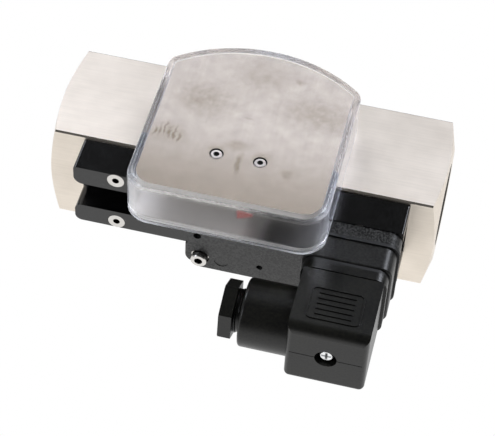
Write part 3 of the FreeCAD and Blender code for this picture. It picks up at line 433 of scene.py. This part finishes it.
# Small brass pieces: the pillars under the dial plate, the axle's bearings and hub, and the threaded insert
# of the clamp screw. They are turned from rod and left as they come off the lathe.
BRASS_LINES = (300, 300, 2500)
BRASS = (0.72, 0.56, 0.28)
BRASS_SHADE = (0.60, 0.46, 0.22)
turned_brass = drawn_metal("turned_brass", BRASS, BRASS_SHADE, BRASS_LINES, rough=(0.25, 0.4), bump=0.2)
dress(turned_brass, "plate_pillars", "axle_bearings", "pointer_hub", "clamp_insert")

# Pointer: a flat arm cut from blackened sheet metal, with its magnet at the back and a balance weight under
# its tail. The flag on the tail's end is painted red, and shows through the front of the cover.
ARM_BLACK = (0.035, 0.035, 0.036)
ARM_SHADE = (0.02, 0.02, 0.021)
FLAG_RED = (0.62, 0.035, 0.03)
FLAG_SHADE = (0.5, 0.025, 0.022)
arm_black = drawn_metal("arm_black", ARM_BLACK, ARM_SHADE, SHEET_LINES, rough=(0.35, 0.5), bump=0.2,
                        metallic=0.3)
dress(arm_black, "pointer_lever", "pointer_weight")

# Paint, rubber and moulded plastic have a fine sparkling grain and a slower change of tone.
moulded_grain, grain_in, grain_out = effect(
    "moulded_grain",
    [("NodeSocketFloat", "Grain Scale", 2500.0), ("NodeSocketFloat", "Tone Scale", 90.0)],
    ["Grain", "Tone"])
place = place_on(moulded_grain)
grain = noise(moulded_grain, place, scale=grain_in["Grain Scale"], detail=3.0).outputs["Fac"]
tone = noise(moulded_grain, place, scale=grain_in["Tone Scale"], detail=4.0).outputs["Fac"]
moulded_grain.links.new(grain, grain_out["Grain"])
moulded_grain.links.new(tone, grain_out["Tone"])


def moulded(name, light, shade, rough, bump, grain=2500.0, specular=0.5, speckle=0.3, depth=0.00003,
            spread=0.4):
    """Plastic, rubber or paint with a fine grain. Speckle is the grain's share in the tone."""
    material, tree, shader = finish_of(name)
    shader.inputs["Specular IOR Level"].default_value = specular
    skin = node_in(tree, "Group", {"Grain Scale": grain}, node_tree=moulded_grain).outputs
    mottle = node_in(tree, "Mix", {0: speckle, 2: skin["Tone"], 3: skin["Grain"]}).outputs[0]
    tree.links.new(two_tone(tree, mottle, shade, light, spread), shader.inputs["Base Color"])
    tree.links.new(graded(tree, skin["Tone"], 0, 1, *rough), shader.inputs["Roughness"])
    relief = node_in(tree, "Bump", {"Height": skin["Grain"], "Strength": bump, "Distance": depth})
    tree.links.new(relief.outputs["Normal"], shader.inputs["Normal"])
    return material


flag_red = moulded("flag_red", FLAG_RED, FLAG_SHADE, rough=(0.4, 0.5), bump=0.1)
dress(flag_red, "pointer_tip")

# Dial plate: stainless sheet ground to a satin finish, screwed to its pillars right under the cover's top.
# It carries grease smudges and finger marks, and it darkens towards the front, partly with grime and partly
# as painted shade. Its cut edges are painted lighter as a painted highlight, and the holes round its screws
# are painted dark as painted shade.
FRONT_DARK_FULL = -0.048
FRONT_DARK_START = -0.012
FRONT_DARK_AMOUNT = 0.76
PIT_SHADE_REACH = 0.0023
STRAY = 0.003
MARK_CORE = 0.1
MARK_RIM = 1.15
PATCH_NOISE = (0.3, 0.7)
PATCH_SHARE = (0.45, 1.35)
# Each mark has its place across and along the plate, its half size both ways, and how dark it is.
SMUDGES = [(-0.0163, -0.0069, 0.0150, 0.0120, 0.46), (0.0001, 0.0082, 0.0130, 0.0110, 0.34),
           (0.0214, -0.0046, 0.0180, 0.0095, 0.46), (0.0129, 0.0087, 0.0019, 0.0021, 0.50),
           (0.0011, -0.0317, 0.0014, 0.0054, 0.60), (-0.0013, -0.0244, 0.0050, 0.0030, 0.36),
           (0.0001, -0.0119, 0.0026, 0.0007, 0.40), (0.0169, -0.0324, 0.0024, 0.0020, 0.30),
           (-0.0240, -0.0236, 0.0075, 0.0065, 0.30), (-0.0066, -0.0282, 0.0036, 0.0032, 0.45),
           (0.0078, -0.0282, 0.0036, 0.0032, 0.45)]
FINGER_MARKS = [(-0.0282, -0.0250, 0.0006, 0.0026, 0.60), (-0.0269, -0.0240, 0.0007, 0.0036, 0.50),
                (-0.0253, -0.0230, 0.0006, 0.0042, 0.65), (-0.0234, -0.0242, 0.0008, 0.0034, 0.50),
                (-0.0218, -0.0244, 0.0006, 0.0040, 0.65), (-0.0202, -0.0258, 0.0007, 0.0028, 0.75)]
PLATE_LINES = (800, 40, 900)
PLATE_STEEL = (0.54, 0.485, 0.43)
PLATE_SHADE = (0.43, 0.385, 0.34)
PLATE_GRIME_AND_SHADE = (0.23, 0.19, 0.145)
PLATE_EDGE_HIGHLIGHT = (0.93, 0.92, 0.91)
plate_steel = drawn_metal("plate_steel", PLATE_STEEL, PLATE_SHADE, PLATE_LINES, rough=(0.52, 0.66),
                          bump=0.25, cloud=240.0)
tree = plate_steel.node_tree
place = place_on(tree)
stray = noise(tree, place, scale=260.0, detail=3.0).outputs["Color"]
stray = vectors(tree, "SUBTRACT", stray, (0.5, 0.5, 0.5))
strayed = vectors(tree, "ADD", place, vectors(tree, "MULTIPLY", stray, (STRAY, STRAY, 0)))
marks = 0.0
for x, y, half_x, half_y, depth in SMUDGES + FINGER_MARKS:
    spot = vectors(tree, "SUBTRACT", strayed, (x, y, 0))
    spot = vectors(tree, "LENGTH", vectors(tree, "MULTIPLY", spot, (1 / half_x, 1 / half_y, 0)))
    marks = sums(tree, "ADD", marks, graded(tree, spot, MARK_CORE, MARK_RIM, depth, 0, "SMOOTHSTEP"))
patchy = noise(tree, place, scale=420.0, detail=5.0, roughness=0.65).outputs["Fac"]
patchy = graded(tree, patchy, *PATCH_NOISE, *PATCH_SHARE)
# Darker towards the front: partly grime, partly painted shade.
front_dark = graded(tree, split(tree, place)["Y"], FRONT_DARK_FULL, FRONT_DARK_START, FRONT_DARK_AMOUNT, 0, "SMOOTHSTEP")
overlay(tree, sums(tree, "MULTIPLY_ADD", marks, patchy, front_dark, clamp=True), PLATE_GRIME_AND_SHADE)
# Painted highlight: faces that don't face up or down are painted lighter.
level = sums(tree, "ABSOLUTE", split(tree, facing_of(tree))["Z"])
overlay(tree, sums(tree, "SUBTRACT", 1.0, level), PLATE_EDGE_HIGHLIGHT)
# Painted shade in the counterbores round the plate's screws.
overlay(tree, near_screws(tree, "plate_screws", PLATE_HEAD, UPRIGHT, PIT_SHADE_REACH), SOCKET_PAINTED_SHADE)
dress(plate_steel, "dial_plate")

# Cover: one clear moulding of polycarbonate that fits round the base plate and closes the whole display. The
# top is polished, and the walls are a little matt from the mould. The side walls carry a cool grey and the
# front wall a warm one, painted tints that stand in for the light seen in them, and the foot is painted blue
# where it stands over the bar. The foot is sawn and left matt, so it gathers light that shows as bright
# lines along the rim.
FOOT_FULL = 0.0003
FOOT_END = 0.0012
FOOT_TINT_FADE = 0.02
TOP_ROUGH = 0.03
FOOT_ROUGH = 0.7
FRONT_MATT = 0.24
SIDE_MATT = 0.2
COVER_IOR = 1.5
COVER_CLEAR = (0.975, 0.98, 0.99)
SIDE_PAINTED_TINT = (0.62, 0.63, 0.70)
FRONT_PAINTED_TINT = (0.985, 0.955, 0.925)
FOOT_PAINTED_TINT = (0.52, 0.57, 0.68)
cover_clear, tree, shader = finish_of("cover_clear")
at = split(tree, place_on(tree))
cover_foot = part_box("display_cover")[0].z
foot = graded(tree, at["Z"], cover_foot + FOOT_FULL, cover_foot + FOOT_END, 1, 0)
facing = split(tree, vectors(tree, "ABSOLUTE", facing_of(tree)))
matt = sums(tree, "MULTIPLY", facing["Y"], FRONT_MATT)
matt = sums(tree, "MULTIPLY_ADD", facing["X"], SIDE_MATT, matt)
matt = sums(tree, "MAXIMUM", matt, foot)
tree.links.new(graded(tree, matt, 0, 1, TOP_ROUGH, FOOT_ROUGH), shader.inputs["Roughness"])
# Painted tints by the way each wall faces, and on the foot where it stands over the bar.
wall_tint = blend(tree, facing["X"], COVER_CLEAR, SIDE_PAINTED_TINT)
wall_tint = blend(tree, facing["Y"], wall_tint, FRONT_PAINTED_TINT)
over_bar = graded(tree, at["Y"], bar_low.y - FOOT_TINT_FADE, bar_low.y, 0, 1)
foot_tint = blend(tree, over_bar, COVER_CLEAR, FOOT_PAINTED_TINT)
tree.links.new(blend(tree, foot, wall_tint, foot_tint), shader.inputs["Base Color"])
shader.inputs["Transmission Weight"].default_value = 1.0
shader.inputs["IOR"].default_value = COVER_IOR
# Shadow rays pass straight through, so that light reaches the plate.
shadow = node_in(tree, "LightPath", {}).outputs["Is Shadow Ray"]
see_through = node_in(tree, "BsdfTransparent", {}).outputs["BSDF"]
surface = node_in(tree, "MixShader", {0: shadow, 1: shader.outputs["BSDF"], 2: see_through})
tree.links.new(surface.outputs["Shader"], tree.nodes["Material Output"].inputs["Surface"])
dress(cover_clear, "display_cover")

# Seals: the ring round the sleeve, the pads of the connector and the gland's ring are black rubber, cut or
# moulded. The cord in the groove round the base plate is pale silicone, and the cover presses on it.
RUBBER = (0.014, 0.014, 0.014)
RUBBER_SHADE = (0.009, 0.009, 0.009)
SILICONE = (0.78, 0.78, 0.78)
SILICONE_SHADE = (0.7, 0.7, 0.7)
seal_black = moulded("seal_black", RUBBER, RUBBER_SHADE, rough=(0.5, 0.65), bump=0.2)
dress(seal_black, "sleeve_seal", "gland_seal", "base_pad", "plug_seal")
seal_pale = moulded("seal_pale", SILICONE, SILICONE_SHADE, rough=(0.4, 0.5), bump=0.1)
dress(seal_pale, "cover_seal")

# Rail: a length of aluminium milled to two prongs, anodised black with a satin surface. Four countersunk
# screws hold it to the front of the bar.
RAIL_BLACK = (0.008, 0.008, 0.008)
RAIL_SHADE = (0.0004, 0.0004, 0.0004)
rail_black = moulded("rail_black", RAIL_BLACK, RAIL_SHADE, rough=(0.10, 0.20), bump=0.4, grain=1300.0,
                     specular=0.7, speckle=0.6, depth=0.00006, spread=0.3)
dress(rail_black, "contact_rail")

# Contact housing: moulded from black plastic filled with glass, which leaves a rough speckled skin. Its
# tongue runs in the rail's slot, and one screw clamps it there.
HOUSING_BLACK = (0.072, 0.072, 0.068)
HOUSING_SHADE = (0.001, 0.001, 0.001)
housing_black = moulded("housing_black", HOUSING_BLACK, HOUSING_SHADE, rough=(0.30, 0.40), bump=1.0,
                        grain=1700.0, specular=0.6, speckle=0.85, depth=0.00012, spread=0.18)
dress(housing_black, "contact_housing")

# Connector: a socket on the housing, and a plug held to it by one long screw. Both are moulded from black
# plastic with a fine skin, the plug's darker. The gland's pressure screw is of the plug's plastic.
SOCKET_BLACK = (0.022, 0.0215, 0.0195)
SOCKET_SHADE = (0.002, 0.0018, 0.0012)
PLUG_BLACK = (0.0092, 0.0088, 0.0055)
PLUG_SHADE = (0.0004, 0.0004, 0.0001)
socket_black = moulded("socket_black", SOCKET_BLACK, SOCKET_SHADE, rough=(0.32, 0.40), bump=0.5,
                       grain=1300.0, speckle=0.6, depth=0.00006, spread=0.22)
dress(socket_black, "connector_socket")
connector_black = moulded("connector_black", PLUG_BLACK, PLUG_SHADE, rough=(0.30, 0.38), bump=0.5,
                          grain=1300.0, speckle=0.6, depth=0.00006, spread=0.22)
dress(connector_black, "plug_housing", "gland_nut")

# Gland thread: the part of the pressure screw's moulded thread that shows between its head and the plug's
# boss. It is of the screw's own black plastic.
GLAND_PITCH = 0.0013
GLAND_TURNS = 1.5
GLAND_ROOT = 0.007 - SUNK
GLAND_CREST = 0.00735
GLAND_LEAD = 0.45
entry = Vector(mounts["cable_entry"]["pos_m"])
boss_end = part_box("plug_housing")[0].x
start = boss_end - GLAND_PITCH * (GLAND_TURNS + GLAND_LEAD)
thread = thread_ridge("gland_thread", start, entry, GLAND_ROOT, GLAND_CREST, GLAND_PITCH, GLAND_TURNS,
                      connector_black)
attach(thread, "contact")

# Inside the plug and the housing: the terminal block is moulded grey plastic, pushed into the plug. The
# switch is sealed in a glass capsule, which lies in the housing's tongue.
TERMINAL_GREY = (0.30, 0.30, 0.31)
TERMINAL_SHADE = (0.24, 0.24, 0.25)
CAPSULE_GREEN = (0.55, 0.65, 0.60)
CAPSULE_SHADE = (0.5, 0.6, 0.55)
terminal_grey = moulded("terminal_grey", TERMINAL_GREY, TERMINAL_SHADE, rough=(0.45, 0.6), bump=0.2)
dress(terminal_grey, "plug_terminal")
reed_glass = moulded("reed_glass", CAPSULE_GREEN, CAPSULE_SHADE, rough=(0.08, 0.12), bump=0.0)
dress(reed_glass, "reed_switch")

# Stage: a white sheet under the object, which looks dimmer away from it in reflections. Two soft lamps stand
# behind it on the left and the right, and a weak one at the left front. The room is dim, and dimmer above.
SHEET_SIZE = 6.0
SHEET_NEAR = 0.16
SHEET_FAR = 0.50
SHEET_DIM = 0.30
LAMP_AIM = Vector((0, 0, 0.02))
ROOM_LOW = 0.25
ROOM_HIGH = 0.08
ROOM_RISE = 0.40
SHEET_WHITE = (0.92, 0.92, 0.92)
LAMP_COOL = (0.95, 0.985, 1.08)
bpy.ops.mesh.primitive_plane_add(size=SHEET_SIZE)
floor = bpy.context.object
floor.name = "floor"
floor_white, tree, shader = finish_of("floor_white", roughness=0.9)
shader.inputs["Base Color"].default_value = opaque(SHEET_WHITE)
light_path = node_in(tree, "LightPath", {}).outputs
seen = sums(tree, "MAXIMUM", light_path["Is Camera Ray"], light_path["Is Glossy Ray"])
seen = sums(tree, "MAXIMUM", seen, light_path["Is Transmission Ray"])
away = vectors(tree, "LENGTH", place_on(tree))
fade = graded(tree, away, SHEET_NEAR, SHEET_FAR, 1, SHEET_DIM, "SMOOTHSTEP")
fade = sums(tree, "MAXIMUM", fade, light_path["Is Camera Ray"])
white = node_in(tree, "Emission", {"Color": (1, 1, 1, 1), "Strength": fade}).outputs["Emission"]
surface = node_in(tree, "MixShader", {0: seen, 1: shader.outputs["BSDF"], 2: white})
tree.links.new(surface.outputs["Shader"], tree.nodes["Material Output"].inputs["Surface"])
floor.data.materials.append(floor_white)


def soft_light(name, location, width, watts):
    """A square lamp turned to the object."""
    lamp = bpy.data.lights.new(name, "AREA")
    lamp.shape = "RECTANGLE"
    lamp.size = width
    lamp.size_y = width
    lamp.energy = watts
    lamp.color = LAMP_COOL
    holder = bpy.data.objects.new(name, lamp)
    holder.location = location
    holder.rotation_mode = "QUATERNION"
    holder.rotation_quaternion = (LAMP_AIM - Vector(location)).to_track_quat("-Z", "Y")
    bpy.context.scene.collection.objects.link(holder)


soft_light("left", (-0.78, 0.62, 1.0), width=0.6, watts=7.4)
soft_light("right", (0.72, 0.62, 1.06), width=0.6, watts=12.0)
soft_light("front", (-0.95, -0.8, 0.75), width=0.5, watts=3.1)

world = bpy.data.worlds.new("studio")
world.use_nodes = True
bpy.context.scene.world = world
tree = world.node_tree
direction = node_in(tree, "TexCoord", {}).outputs["Generated"]
room = graded(tree, split(tree, direction)["Z"], 0, ROOM_RISE, ROOM_LOW, ROOM_HIGH, "SMOOTHSTEP")
room = sums(tree, "MAXIMUM", room, node_in(tree, "LightPath", {}).outputs["Is Camera Ray"])
tree.links.new(room, tree.nodes["Background"].inputs["Color"])
tree.nodes["Background"].inputs["Strength"].default_value = 1.0

# Camera: where the photograph was taken from, with its lens, both found from the edges of the bar. It is
# turned about the bar's centre in degrees, and then moved left and down in metres.
CAMERA_AZIMUTH = 10.901
CAMERA_ELEVATION = 49.133
CAMERA_ROLL = -3.351
CAMERA_DISTANCE = 0.638933
CAMERA_LEFT = 0.001983
CAMERA_DOWN = 0.017865
FOCAL_PIXELS = 1854.203
PHOTO_WIDTH = 495
SENSOR_WIDTH = 36.0
BAR_CENTRE = Vector((0, 0, 0.020))
azimuth, elevation, roll = (math.radians(a) for a in (CAMERA_AZIMUTH, CAMERA_ELEVATION, CAMERA_ROLL))
back = Vector((math.sin(azimuth) * math.cos(elevation), -math.cos(azimuth) * math.cos(elevation),
               math.sin(elevation)))
level = Vector((math.cos(azimuth), math.sin(azimuth), 0))
upright = back.cross(level)
right = level * math.cos(roll) - upright * math.sin(roll)
up = level * math.sin(roll) + upright * math.cos(roll)
eye = BAR_CENTRE + back * CAMERA_DISTANCE - right * CAMERA_LEFT - up * CAMERA_DOWN
lens = bpy.data.cameras.new("camera")
lens.sensor_width = SENSOR_WIDTH
lens.lens = FOCAL_PIXELS / PHOTO_WIDTH * SENSOR_WIDTH
camera = bpy.data.objects.new("camera", lens)
camera.matrix_world = Matrix((
    (right.x, up.x, back.x, eye.x),
    (right.y, up.y, back.y, eye.y),
    (right.z, up.z, back.z, eye.z),
    (0, 0, 0, 1)))
bpy.context.scene.collection.objects.link(camera)
bpy.context.scene.camera = camera
bpy.context.scene.view_settings.view_transform = "Standard"
bpy.context.scene.cycles.max_bounces = 32
bpy.context.scene.cycles.glossy_bounces = 16
bpy.context.scene.cycles.transmission_bounces = 24
